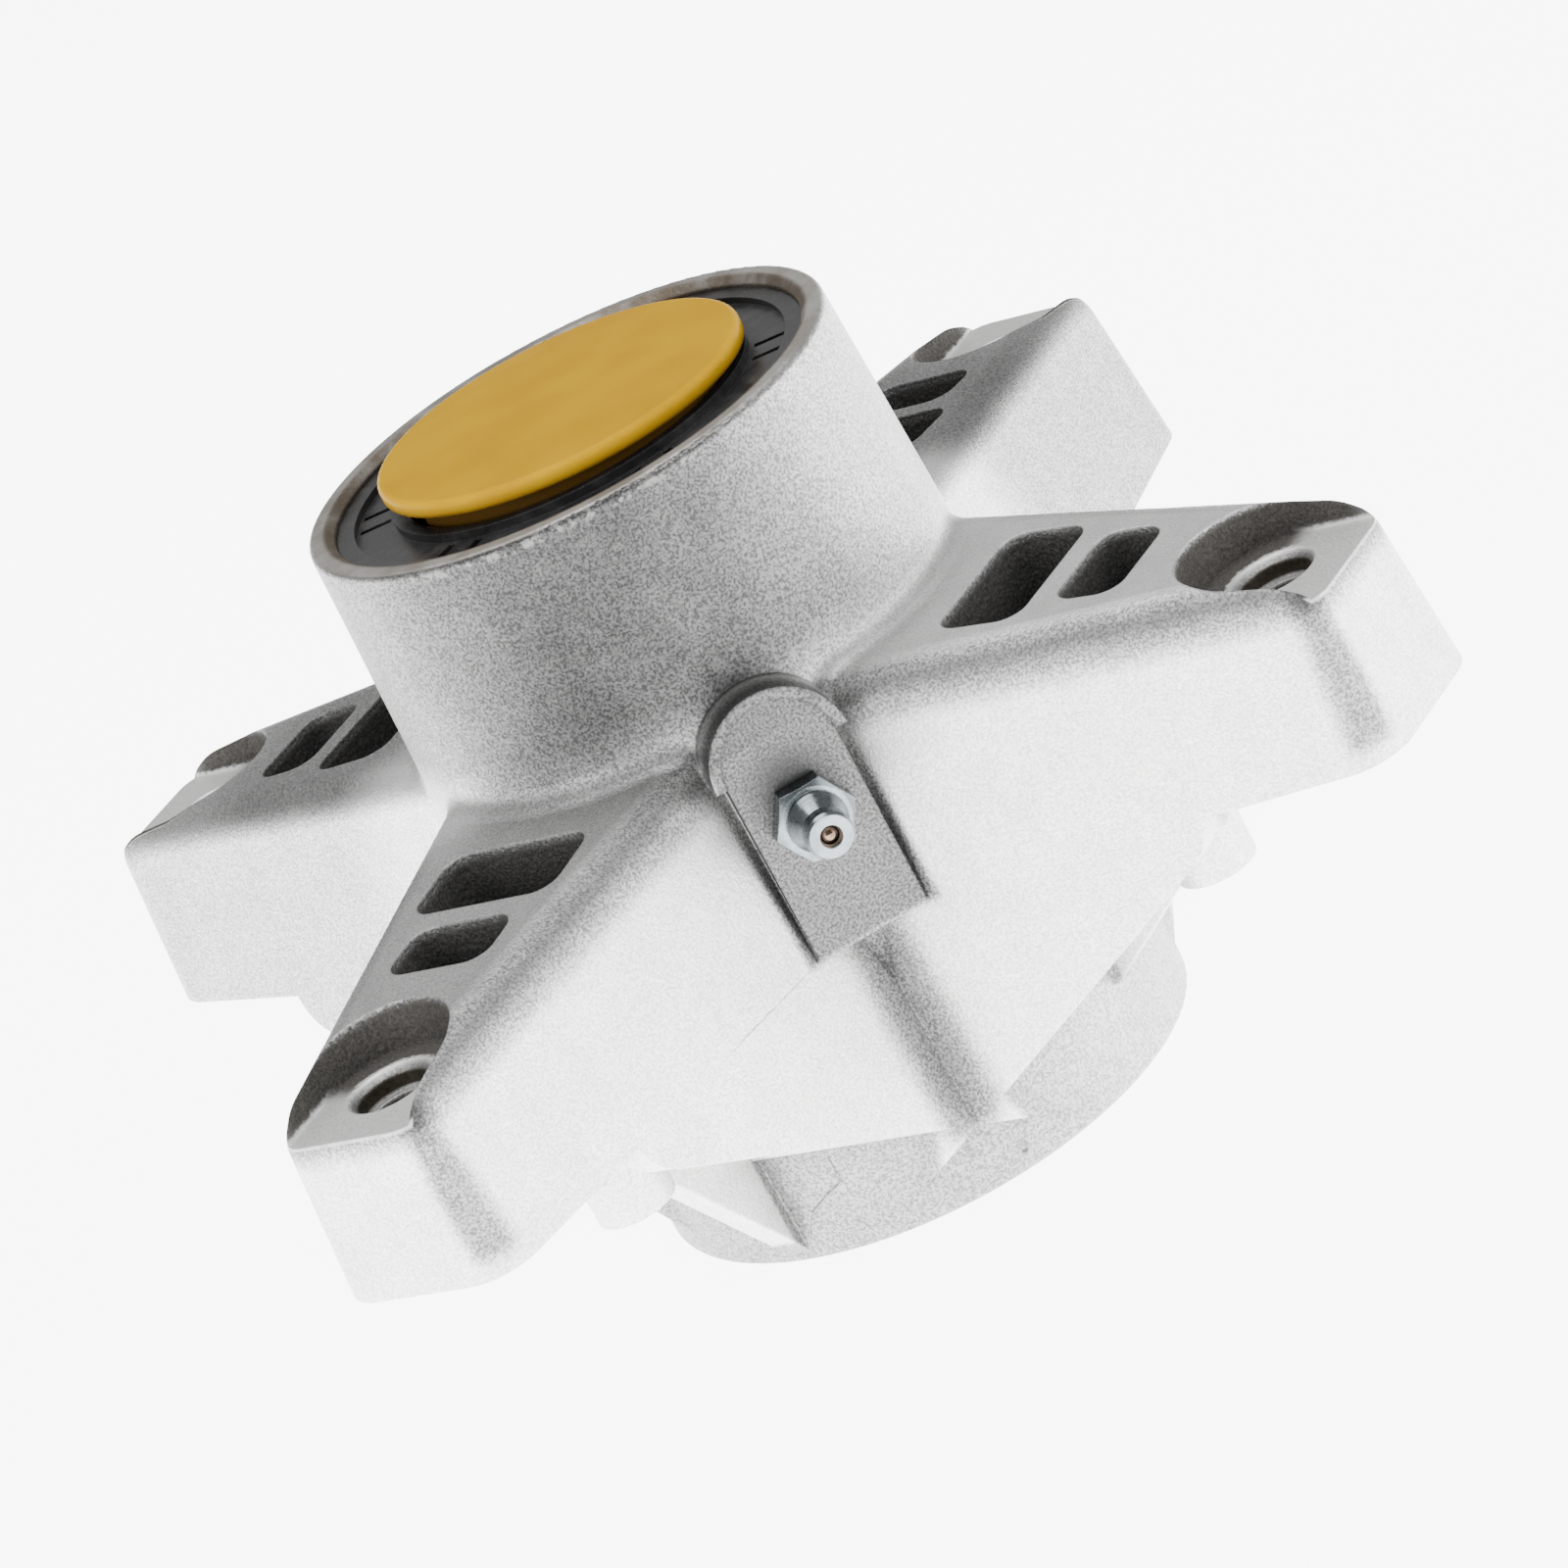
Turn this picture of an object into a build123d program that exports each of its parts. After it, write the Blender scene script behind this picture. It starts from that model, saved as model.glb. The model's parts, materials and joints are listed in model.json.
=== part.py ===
from build123d import *
from math import asin, cos, degrees, hypot, radians, sin, sqrt, tan
import os

# Mower deck spindle: a die cast housing with four arms, two tapered roller
# bearings on a spacer, two lip seals, two push-in transport plugs and a
# grease fitting. Millimetres. Z is the spindle axis, the origin is the centre
# of the lower hub's rim, and the grease fitting points along -Y.

# Hub and tube, outside
TUBE_TOP = 110.0
TUBE_RIM_RADIUS = 38.0
TUBE_ROOT_RADIUS = 40.4
TUBE_ROOT_HEIGHT = 50.0
HUB_RIM_RADIUS = 39.3
RIM_ROUND = 0.9
ROOT_FILLET = 3.0

# Arms, outside: t runs out along an arm, w across it
ARM_ANGLE = 45.0
FOOT_HEIGHT = 43.1
ARM_HALF_WIDTH = 18.3
ARM_WIDTH_AT = 80.0
ARM_PLAN_SLOPE = 0.183
ARM_DRAFT_SLOPE = 0.131
ARM_REACH = 104.2
END_DRAFT_SLOPE = 0.063
CORNER_RADIUS_AT_FOOT = 7.5
CORNER_RADIUS_SLOPE = 0.12
ARM_TOP_AT_AXIS = 76.9
ARM_TOP_SLOPE = 0.067
TIP_ROUND = 7.5
TIP_LEAN = 0.4
ARM_TOP_ROUND = 5.5

# Arms, underside
FOOT_INNER_REACH = 77.0
ARCH_ROUND = 6.9
ARCH_FOOT_HEIGHT = 36.4
SKIRT_REACH = 70.6
SKIRT_HEIGHT = 35.4
SKIRT_SLOPE = 0.6
SKIRT_WALL = 4.2
WEB_TOP = 48.0
WEB_THICKNESS = 4.0
CAVITY_INNER_REACH = 41.0
CAVITY_OUTER_REACH = 78.4
LUG_REACH = 62.0
LUG_RADIUS = 5.6
LUG_BOTTOM = 26.4
GUSSET_THICKNESS = 4.0
GUSSET_HUB_BOTTOM = 1.5
SHALLOW_GUSSET_HUB_BOTTOM = 12.0
GUSSET_HUB_REACH = 39.0
GUSSET_OUTER_HEIGHT = 33.0
GUSSET_LUG_STEP = 1.0

# Arm tops: two windows and the bolt pocket
LARGE_WINDOW_INNER = 47.3
LARGE_WINDOW_OUTER = 60.5
LARGE_WINDOW_HALF_WIDTH = 12.0
SMALL_WINDOW_INNER = 63.6
SMALL_WINDOW_OUTER = 73.9
SMALL_WINDOW_HALF_WIDTH = 8.6
WINDOW_CORNER = 3.6
WINDOW_DRAFT = 2.0
POCKET_FLOOR = 65.8
POCKET_RADIUS = 10.0
POCKET_DRAFT = 12.0
BOLT_REACH = 90.8
BOLT_HOLE_RADIUS = 4.05
COUNTERSINK_RADIUS = 5.9
COUNTERBORE_RADIUS = 5.0
COUNTERBORE_DEPTH = 3.2

# Flat boss for the grease fitting
PAD_FACE = 45.4
PAD_HALF_WIDTH = 8.0
PAD_BOTTOM = 43.2
PAD_ARC_HEIGHT = 70.4
PAD_LIP_WIDTH = 1.6
PAD_LIP_PROUD = 0.6
PAD_ROOT = 30.0
FITTING_HEIGHT = 61.7

# Bearings: inch series tapered rollers
SHAFT_RADIUS = 15.875
CUP_RADIUS = 29.565
BEARING_WIDTH = 15.875
CONE_WIDTH = 16.77
CUP_WIDTH = 11.81
ROLLER_COUNT = 17
ROLLER_PITCH_RADIUS = 22.9
ROLLER_MID_RADIUS = 2.9
ROLLER_LENGTH = 10.5
ROLLER_TAPER = 1.6
ROLLER_MID_HEIGHT = 6.6
ROLLER_EDGE = 0.4
ROLLER_GAP = 0.05
ROLLER_DIMPLE_RADIUS = 1.3
ROLLER_DIMPLE_DEPTH = 0.25
CAGE_THICKNESS = 1.0
CAGE_OFFSET = 1.0
CAGE_OVERHANG = 1.7
CAGE_FLANGE = 2.4
CAGE_POCKET_GAP = 0.25
LARGE_RIB = 1.6
SMALL_RIB = 0.8

# Inside of the housing
SEAT_GAP = 0.02
CAVITY_RADIUS = 26.0
SPACER_RADIUS = 19.05
SPACER_BORE_RADIUS = 16.2
GREASE_HOLE_RADIUS = 2.0
GREASE_THREAD_RADIUS = 3.1
GREASE_THREAD_DEPTH = 7.5
MOUTH_CHAMFER = 1.0

# Seals, by depth below their outer face
SEAL_RADIUS = 34.4
SEAL_THICKNESS = 8.0
UPPER_SEAL_RECESS = 1.5
LOWER_SEAL_RECESS = 6.2
SEAL_TO_CONE = 0.6
SEAL_RING_WIDTH = 2.6
SEAL_DISH = 1.0
SEAL_WEB = 2.8
SEAL_LEG = 2.6
SEAL_COLLAR_RADIUS = 26.2
SEAL_COLLAR_PROUD = 0.3
SEAL_COLLAR_WALL = 1.6
SEAL_LIP_RADIUS = 23.9
SEAL_LIP_DEPTH = 6.3
SEAL_SLOTS = 6
SEAL_SLOT_START = 161.0
SEAL_SLOT_WIDTH = 1.3
SEAL_SLOT_PITCH = 4.8
SEAL_SLOT_DEPTH = 1.4
SEAL_SLOT_MARGIN = 0.5
SEAL_BEVEL = 1.0
SEAL_LIP_TAIL = 1.1
SEAL_LIP_TAIL_STEP = 0.4
GARTER_SEAT_OVERHANG = 0.6
GARTER_WIRE_RADIUS = 0.7
GARTER_DEPTH = 5.7
GARTER_SEAT_RADIUS = 26.0

# Transport plugs
PLUG_RADIUS = 26.35
PLUG_THICKNESS = 2.5
PLUG_DOME = 0.7
PLUG_TOP_ROUND = 1.0
PLUG_LOWER_ROUND = 0.6
PLUG_STANDOFF = 1.55
PLUG_SKIRT_WALL = 1.5
PLUG_SKIRT_ROOT = 0.2
PLUG_SKIRT_LEAD = 0.5
PLUG_FIT_GAP = 0.45
PLUG_TO_CONE = 1.3
PLUG_SLOTS = 2
PLUG_SLOT_WIDTH = 8.0
PLUG_SLOT_START = 183.0
TOP_PLUG_TILT = 1.8

# Grease fitting, along its own axis from the seat on the boss
FITTING_HEX = 10.0
FITTING_HEX_HEIGHT = 3.3
FITTING_HEX_BEVEL = 0.8
FITTING_HEX_INSET = 0.3
FITTING_HEX_REACH = 6.0
FITTING_COLLAR_RADIUS = 4.1
FITTING_COLLAR_HEIGHT = 3.9
FITTING_NECK_RADIUS = 2.6
FITTING_NECK_HEIGHT = 6.7
FITTING_HEAD_RADIUS = 3.25
FITTING_HEAD_HEIGHT = 8.0
FITTING_FACE_RADIUS = 2.9
FITTING_FACE_BEVEL = 0.5
FITTING_LENGTH = 10.6
FITTING_STUB_LENGTH = 6.5
FITTING_DRILL_RADIUS = 1.0
FITTING_BORE_RADIUS = 1.65
FITTING_BORE_LEDGE = -1.5
FITTING_MOUTH_RADIUS = 1.2
FITTING_MOUTH_SINK = 1.55
FITTING_MOUTH_LAND = 0.2
FITTING_SEAT_DEPTH = 0.9
BALL_RADIUS = 1.4
BALL_SEAT_GAP = 0.05
SPRING_RADIUS = 1.2
SPRING_WIRE_RADIUS = 0.2
SPRING_TURNS = 6
SPRING_END_GAP = 0.05

# Heights and lists that follow, and how far a cut runs past what it cuts
UPPER_SEAL_FACE = TUBE_TOP - UPPER_SEAL_RECESS
LOWER_SEAL_FACE = LOWER_SEAL_RECESS
UPPER_POCKET = UPPER_SEAL_FACE - SEAL_THICKNESS
LOWER_POCKET = LOWER_SEAL_FACE + SEAL_THICKNESS
UPPER_SHOULDER = UPPER_POCKET - SEAL_TO_CONE - BEARING_WIDTH
LOWER_SHOULDER = LOWER_POCKET + SEAL_TO_CONE + BEARING_WIDTH
CONE_FRONT = BEARING_WIDTH - CONE_WIDTH
ROLLER_TILT = asin(ROLLER_PITCH_RADIUS * tan(radians(ROLLER_TAPER)) / ROLLER_MID_RADIUS)
ROLLER_GROWTH = tan(radians(ROLLER_TAPER)) * ROLLER_LENGTH / 2
ARM_TIP = ARM_REACH - END_DRAFT_SLOPE * (POCKET_FLOOR - FOOT_HEIGHT)
ARMS = (-ARM_ANGLE, ARM_ANGLE, 180 - ARM_ANGLE, 180 + ARM_ANGLE)
SPARE = 1.0
BEYOND = 10.0


def turned(points):
    """Solid of revolution about Z from (radius, height) corners."""
    profile = make_face(Polyline(*[(r, 0, z) for r, z in points], close=True))
    return revolve(profile, Axis.Z)


def arm_half_width(t, z):
    spread = ARM_PLAN_SLOPE * (ARM_WIDTH_AT - t) + ARM_DRAFT_SLOPE * (FOOT_HEIGHT - z)
    return ARM_HALF_WIDTH + spread


def arm_section(z):
    """Plan outline of an arm at one height, with its two rounded outer corners."""
    end = ARM_REACH - END_DRAFT_SLOPE * (z - FOOT_HEIGHT)
    inner, outer = arm_half_width(0, z), arm_half_width(end, z)
    plan = make_face(Polyline((0, inner), (end, outer), (end, -outer), (0, -inner), close=True))
    corner = CORNER_RADIUS_AT_FOOT - CORNER_RADIUS_SLOPE * (z - FOOT_HEIGHT)
    plan = fillet(plan.vertices().sort_by(Axis.X)[-2:], corner)
    return Pos(0, 0, z) * plan


def cavity_section(z):
    """Plan outline of the hollow under an arm, inside its skirt walls."""
    inner = arm_half_width(CAVITY_INNER_REACH, z) - SKIRT_WALL
    outer = arm_half_width(CAVITY_OUTER_REACH, z) - SKIRT_WALL
    corners = [(CAVITY_INNER_REACH, inner), (CAVITY_OUTER_REACH, outer),
               (CAVITY_OUTER_REACH, -outer), (CAVITY_INNER_REACH, -inner)]
    return Pos(0, 0, z) * make_face(Polyline(*corners, close=True))


def across(outline, width):
    """Solid that runs across the arm, centred on it, from an outline in t and z."""
    return extrude(Plane.XZ * make_face(outline), amount=width / 2, both=True)


def arm_blank():
    """Drafted arm with its sloping top, rounded tip, flat foot and raked skirt."""
    body = loft([arm_section(GUSSET_HUB_BOTTOM), arm_section(ARM_TOP_AT_AXIS + SPARE)], ruled=True)
    turn = ARM_TIP - TIP_ROUND
    past = ARM_REACH + BEYOND
    top = Line((0, ARM_TOP_AT_AXIS), (turn, ARM_TOP_AT_AXIS - ARM_TOP_SLOPE * turn))
    fall = TangentArc(top @ 1, (ARM_TIP + TIP_LEAN, POCKET_FLOOR), tangent=top % 1)
    foot = Polyline(fall @ 1, (past, POCKET_FLOOR), (past, FOOT_HEIGHT), (FOOT_INNER_REACH, FOOT_HEIGHT))
    arch = RadiusArc(foot @ 1, (SKIRT_REACH, ARCH_FOOT_HEIGHT), ARCH_ROUND)
    axis_height = SKIRT_HEIGHT - SKIRT_SLOPE * SKIRT_REACH
    rake = Polyline(arch @ 1, (SKIRT_REACH, SKIRT_HEIGHT), (0, axis_height), top @ 0)
    body = body & across([top, fall, foot, arch, rake], 4 * ARM_REACH)
    crest = body.edges().filter_by(
        lambda e: e.center().Z > POCKET_FLOOR - SPARE and abs(e.center().Y) > TIP_ROUND / 2
        and abs((e @ 0).X - (e @ 1).X) > SPARE)
    return fillet(crest, ARM_TOP_ROUND)


def window(inner, outer, half_width):
    """Drafted pocket sunk in the arm top down to the web."""
    mouth = Pos((inner + outer) / 2, 0) * RectangleRounded(outer - inner, 2 * half_width, WINDOW_CORNER)
    depth = ARM_TOP_AT_AXIS - WEB_TOP
    return extrude(Pos(0, 0, ARM_TOP_AT_AXIS) * mouth, amount=-depth, taper=WINDOW_DRAFT)


def bolt_pocket():
    """Round-ended pocket, open at the tip, with the countersunk and stepped bolt hole."""
    floor = Pos(BOLT_REACH, 0) * Circle(POCKET_RADIUS)
    length = ARM_REACH + BEYOND - BOLT_REACH
    floor += Pos(BOLT_REACH + length / 2, 0) * Rectangle(length, 2 * POCKET_RADIUS)
    pocket = extrude(Pos(0, 0, POCKET_FLOOR) * floor, amount=BEYOND, taper=-POCKET_DRAFT)
    sink = COUNTERSINK_RADIUS - COUNTERBORE_RADIUS
    ledge = POCKET_FLOOR - COUNTERBORE_DEPTH
    hole = turned([(0, FOOT_HEIGHT - SPARE), (BOLT_HOLE_RADIUS, FOOT_HEIGHT - SPARE),
                   (BOLT_HOLE_RADIUS, ledge), (COUNTERBORE_RADIUS, ledge),
                   (COUNTERBORE_RADIUS, POCKET_FLOOR - sink), (COUNTERSINK_RADIUS, POCKET_FLOOR),
                   (COUNTERSINK_RADIUS, POCKET_FLOOR + SPARE), (0, POCKET_FLOOR + SPARE)])
    return pocket + Pos(BOLT_REACH, 0, 0) * hole


def arm_cuts():
    ceiling = WEB_TOP - WEB_THICKNESS
    cavity = loft([cavity_section(GUSSET_HUB_BOTTOM), cavity_section(ceiling)], ruled=True)
    large = window(LARGE_WINDOW_INNER, LARGE_WINDOW_OUTER, LARGE_WINDOW_HALF_WIDTH)
    small = window(SMALL_WINDOW_INNER, SMALL_WINDOW_OUTER, SMALL_WINDOW_HALF_WIDTH)
    return [cavity, large, small, bolt_pocket()]


def arm_underside(hub_bottom):
    """Round lug and the centre gusset that ties it to the hub and the foot."""
    root = WEB_TOP - WEB_THICKNESS / 2
    lug = Pos(LUG_REACH, 0, LUG_BOTTOM) * Cylinder(
        LUG_RADIUS, root - LUG_BOTTOM, align=(Align.CENTER, Align.CENTER, Align.MIN))
    start = CAVITY_INNER_REACH - BEYOND
    lug_inner = LUG_REACH - LUG_RADIUS
    lug_outer = LUG_REACH + LUG_RADIUS
    outline = Polyline((start, hub_bottom), (GUSSET_HUB_REACH, hub_bottom),
                       (lug_inner, LUG_BOTTOM - GUSSET_LUG_STEP), (LUG_REACH, LUG_BOTTOM - GUSSET_LUG_STEP),
                       (LUG_REACH, GUSSET_OUTER_HEIGHT), (lug_outer, GUSSET_OUTER_HEIGHT),
                       (CAVITY_OUTER_REACH, FOOT_HEIGHT), (CAVITY_OUTER_REACH + SPARE, root),
                       (start, root), close=True)
    return lug + across(outline, GUSSET_THICKNESS)


def hub_outside():
    body = turned([(0, 0), (HUB_RIM_RADIUS, 0), (TUBE_ROOT_RADIUS, TUBE_ROOT_HEIGHT),
                   (TUBE_RIM_RADIUS, TUBE_TOP), (0, TUBE_TOP)])
    rims = body.edges().filter_by(GeomType.CIRCLE).sort_by(Axis.Z)
    return fillet([rims[0], rims[-1]], RIM_ROUND)


def pad():
    """Flat boss between the front arms, with a low lip round its arched top."""
    inside = Pos(0, PAD_ARC_HEIGHT) * Circle(PAD_HALF_WIDTH)
    height = PAD_ARC_HEIGHT - PAD_BOTTOM
    inside += Pos(0, PAD_BOTTOM + height / 2) * Rectangle(2 * PAD_HALF_WIDTH, height)
    arch = Pos(0, PAD_ARC_HEIGHT) * Circle(PAD_HALF_WIDTH + PAD_LIP_WIDTH)
    boss = extrude(Plane.XZ.offset(PAD_ROOT) * inside, amount=PAD_FACE - PAD_ROOT)
    lip = extrude(Plane.XZ.offset(PAD_ROOT) * arch, amount=PAD_FACE + PAD_LIP_PROUD - PAD_ROOT)
    spot = extrude(Plane.XZ.offset(PAD_FACE) * inside, amount=BEYOND)
    skirt = Pos(0, -PAD_FACE, PAD_BOTTOM) * Box(
        4 * PAD_HALF_WIDTH, BEYOND, PAD_ARC_HEIGHT - PAD_BOTTOM,
        align=(Align.CENTER, Align.CENTER, Align.MIN))
    return boss + (lip - skirt) - spot


def bores():
    """Stepped bore for the seals, cups and grease space."""
    seal = SEAL_RADIUS + SEAT_GAP
    cup = CUP_RADIUS + SEAT_GAP
    mouth = seal + MOUTH_CHAMFER
    return turned([(0, -SPARE), (mouth, -SPARE), (mouth, 0), (seal, MOUTH_CHAMFER), (seal, LOWER_POCKET),
                   (cup, LOWER_POCKET), (cup, LOWER_SHOULDER), (CAVITY_RADIUS, LOWER_SHOULDER),
                   (CAVITY_RADIUS, UPPER_SHOULDER), (cup, UPPER_SHOULDER), (cup, UPPER_POCKET),
                   (seal, UPPER_POCKET), (seal, TUBE_TOP - MOUTH_CHAMFER), (mouth, TUBE_TOP),
                   (mouth, TUBE_TOP + SPARE), (0, TUBE_TOP + SPARE)])


def fitting_place():
    return Pos(0, -PAD_FACE, FITTING_HEIGHT) * Rot(90, 0, 0)


def grease_passage():
    thread = GREASE_THREAD_RADIUS + SEAT_GAP
    deep = PAD_FACE - CAVITY_RADIUS + SPARE
    return fitting_place() * turned([(0, SPARE), (thread, SPARE), (thread, -GREASE_THREAD_DEPTH),
                                     (GREASE_HOLE_RADIUS, -GREASE_THREAD_DEPTH),
                                     (GREASE_HOLE_RADIUS, -deep), (0, -deep)])


def housing():
    """Hub and arms with their root fillets, cut hollow, then the ribs and the bores."""
    body = hub_outside()
    blank = arm_blank()
    for angle in ARMS:
        body += Rot(0, 0, angle) * blank
    seams = body.edges().filter_by(
        lambda e: TUBE_RIM_RADIUS - SPARE < hypot(e.center().X, e.center().Y) < TUBE_ROOT_RADIUS + SPARE
        and FOOT_HEIGHT < e.center().Z < ARM_TOP_AT_AXIS)
    body = fillet(seams, ROOT_FILLET)
    body += pad()
    cuts = arm_cuts()
    under = (arm_underside(SHALLOW_GUSSET_HUB_BOTTOM), arm_underside(GUSSET_HUB_BOTTOM))
    for angle in ARMS:
        for cut in cuts:
            body -= Rot(0, 0, angle) * cut
    for index, angle in enumerate(ARMS):
        body += Rot(0, 0, angle) * under[index % 2]
    body += hub_outside()
    return body - bores() - grease_passage()


def along_roller(s, q):
    """Radius and height of a point s along a roller's axis and q off it."""
    return (ROLLER_PITCH_RADIUS + s * sin(ROLLER_TILT) + q * cos(ROLLER_TILT),
            ROLLER_MID_HEIGHT + s * cos(ROLLER_TILT) - q * sin(ROLLER_TILT))


def bearing_cup():
    slope = tan(ROLLER_TILT + radians(ROLLER_TAPER))
    r, h = along_roller(0, ROLLER_MID_RADIUS + ROLLER_GAP)
    return turned([(CUP_RADIUS, 0), (CUP_RADIUS, CUP_WIDTH),
                   (r + slope * (CUP_WIDTH - h), CUP_WIDTH), (r - slope * h, 0)])


def bearing_cone():
    end = ROLLER_LENGTH / 2 + ROLLER_GAP
    large = ROLLER_MID_RADIUS + ROLLER_GROWTH
    small = ROLLER_MID_RADIUS - ROLLER_GROWTH
    rib = along_roller(end, LARGE_RIB - large)
    lip = along_roller(-end, SMALL_RIB - small)
    return turned([(SHAFT_RADIUS, CONE_FRONT), (SHAFT_RADIUS, BEARING_WIDTH), (rib[0], BEARING_WIDTH),
                   rib, along_roller(end, -large - ROLLER_GAP), along_roller(-end, -small - ROLLER_GAP),
                   lip, (lip[0], CONE_FRONT)])


def roller_outline(extra=0.0):
    large = ROLLER_MID_RADIUS + ROLLER_GROWTH + extra
    small = ROLLER_MID_RADIUS - ROLLER_GROWTH + extra
    half = ROLLER_LENGTH / 2 + extra
    return turned([(0, -half), (small - ROLLER_EDGE, -half), (small, ROLLER_EDGE - half),
                   (large, half - ROLLER_EDGE), (large - ROLLER_EDGE, half), (0, half)])


def in_first_pocket(piece):
    return Pos(ROLLER_PITCH_RADIUS, 0, ROLLER_MID_HEIGHT) * Rot(0, degrees(ROLLER_TILT), 0) * piece


def roller():
    """Tapered roller with a shallow round dimple in its large end."""
    floor = ROLLER_LENGTH / 2 - ROLLER_DIMPLE_DEPTH
    dimple = Cylinder(ROLLER_DIMPLE_RADIUS, SPARE, align=(Align.CENTER, Align.CENTER, Align.MIN))
    return in_first_pocket(roller_outline() - Pos(0, 0, floor) * dimple)


def roller_turn(index):
    return Rot(0, 0, 360 / ROLLER_COUNT * index)


def bearing_cage():
    """Pressed cone-shaped cage with one window for each roller."""
    inner = CAGE_OFFSET - CAGE_THICKNESS / 2
    outer = CAGE_OFFSET + CAGE_THICKNESS / 2
    end = ROLLER_LENGTH / 2 + CAGE_OVERHANG
    cage = turned([along_roller(end, inner), along_roller(end, outer), along_roller(-end, outer),
                   along_roller(-end, outer - CAGE_FLANGE),
                   along_roller(CAGE_THICKNESS - end, outer - CAGE_FLANGE),
                   along_roller(CAGE_THICKNESS - end, inner)])
    pocket = in_first_pocket(roller_outline(CAGE_POCKET_GAP))
    for index in range(ROLLER_COUNT):
        cage -= roller_turn(index) * pocket
    return cage


def upper(piece):
    return Pos(0, 0, UPPER_SHOULDER) * piece


def lower(piece):
    return Pos(0, 0, LOWER_SHOULDER) * Rot(180, 0, 0) * piece


def bearing_spacer():
    low = LOWER_SHOULDER - CONE_FRONT
    high = UPPER_SHOULDER + CONE_FRONT
    return turned([(SPACER_BORE_RADIUS, low), (SPACER_RADIUS, low),
                   (SPACER_RADIUS, high), (SPACER_BORE_RADIUS, high)])


def seal():
    """Lip seal with its outer face at height 0 and its inner side below."""
    dish = SEAL_RADIUS - SEAL_RING_WIDTH
    leg = SEAL_RADIUS - SEAL_LEG
    web = -SEAL_DISH - SEAL_WEB
    inner = SEAL_COLLAR_RADIUS - SEAL_COLLAR_WALL
    ring = turned([(SEAL_RADIUS, 0), (SEAL_RADIUS, -SEAL_THICKNESS), (leg, -SEAL_THICKNESS), (leg, web),
                   (GARTER_SEAT_RADIUS + SEAL_BEVEL, web), (GARTER_SEAT_RADIUS, web - SEAL_BEVEL),
                   (GARTER_SEAT_RADIUS, -SEAL_LIP_DEPTH - GARTER_SEAT_OVERHANG),
                   (inner + SEAL_LIP_TAIL_STEP, -SEAL_LIP_DEPTH - SEAL_LIP_TAIL),
                   (SEAL_LIP_RADIUS, -SEAL_LIP_DEPTH), (inner, web), (inner, -SEAL_BEVEL),
                   (SEAL_LIP_RADIUS, 0), (inner, SEAL_COLLAR_PROUD),
                   (SEAL_COLLAR_RADIUS, SEAL_COLLAR_PROUD), (SEAL_COLLAR_RADIUS, -SEAL_DISH),
                   (dish, -SEAL_DISH), (dish, 0)])
    length = dish - SEAL_COLLAR_RADIUS - 2 * SEAL_SLOT_MARGIN
    middle = (dish + SEAL_COLLAR_RADIUS) / 2
    slot = Pos(middle, 0, -SEAL_DISH) * Box(length, SEAL_SLOT_WIDTH, 2 * SEAL_SLOT_DEPTH)
    for index in range(SEAL_SLOTS):
        turn = Rot(0, 0, SEAL_SLOT_START + 360 / SEAL_SLOTS * index)
        for side in (-1, 1):
            ring -= turn * Pos(0, side * SEAL_SLOT_PITCH / 2, 0) * slot
    return ring


def garter_spring():
    centre = GARTER_SEAT_RADIUS + GARTER_WIRE_RADIUS + SEAT_GAP
    return Pos(0, 0, -GARTER_DEPTH) * Torus(centre, GARTER_WIRE_RADIUS)


def plug_disc():
    """Round disc with a slightly domed top, its underside at height 0."""
    edge = PLUG_THICKNESS
    sides = Polyline((0, 0, edge + PLUG_DOME), (0, 0, 0), (PLUG_RADIUS, 0, 0), (PLUG_RADIUS, 0, edge))
    dome = ThreePointArc(sides @ 1, (PLUG_RADIUS / sqrt(2), 0, edge + PLUG_DOME / 2), sides @ 0)
    disc = revolve(make_face([sides, dome]), Axis.Z)
    for which, size in ((-1, PLUG_TOP_ROUND), (0, PLUG_LOWER_ROUND)):
        rims = disc.edges().filter_by(lambda e: e.is_closed).sort_by(Axis.Z)
        disc = fillet(rims[which], size)
    return disc


def plug(tilt=0.0):
    """Transport plug: a disc on a skirt split in two, leaning about the seal's lip."""
    skirt = SEAL_LIP_RADIUS - PLUG_FIT_GAP
    deep = SEAL_COLLAR_PROUD + PLUG_STANDOFF + SEAL_THICKNESS + SEAL_TO_CONE - PLUG_TO_CONE
    tube = turned([(skirt - PLUG_SKIRT_WALL, PLUG_SKIRT_ROOT), (skirt, PLUG_SKIRT_ROOT),
                   (skirt, PLUG_SKIRT_LEAD - deep), (skirt - PLUG_SKIRT_LEAD, -deep),
                   (skirt - PLUG_SKIRT_WALL, -deep)])
    slot = Pos(skirt, 0, 0) * Box(BEYOND, PLUG_SLOT_WIDTH, 3 * deep)
    for index in range(PLUG_SLOTS):
        tube -= Rot(0, 0, PLUG_SLOT_START + 360 / PLUG_SLOTS * index) * slot
    above_lip = SEAL_LIP_DEPTH + SEAL_COLLAR_PROUD + PLUG_STANDOFF
    return Pos(0, 0, -SEAL_LIP_DEPTH) * Rot(0, tilt, 0) * Pos(0, 0, above_lip) * (plug_disc() + tube)


def at_upper_face(piece):
    return Pos(0, 0, UPPER_SEAL_FACE) * piece


def at_lower_face(piece):
    return Pos(0, 0, LOWER_SEAL_FACE) * Rot(180, 0, 0) * piece


def ball_height():
    seat = FITTING_LENGTH - FITTING_SEAT_DEPTH
    reach = BALL_RADIUS + BALL_SEAT_GAP
    return seat - sqrt(reach ** 2 - FITTING_MOUTH_RADIUS ** 2)


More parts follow.
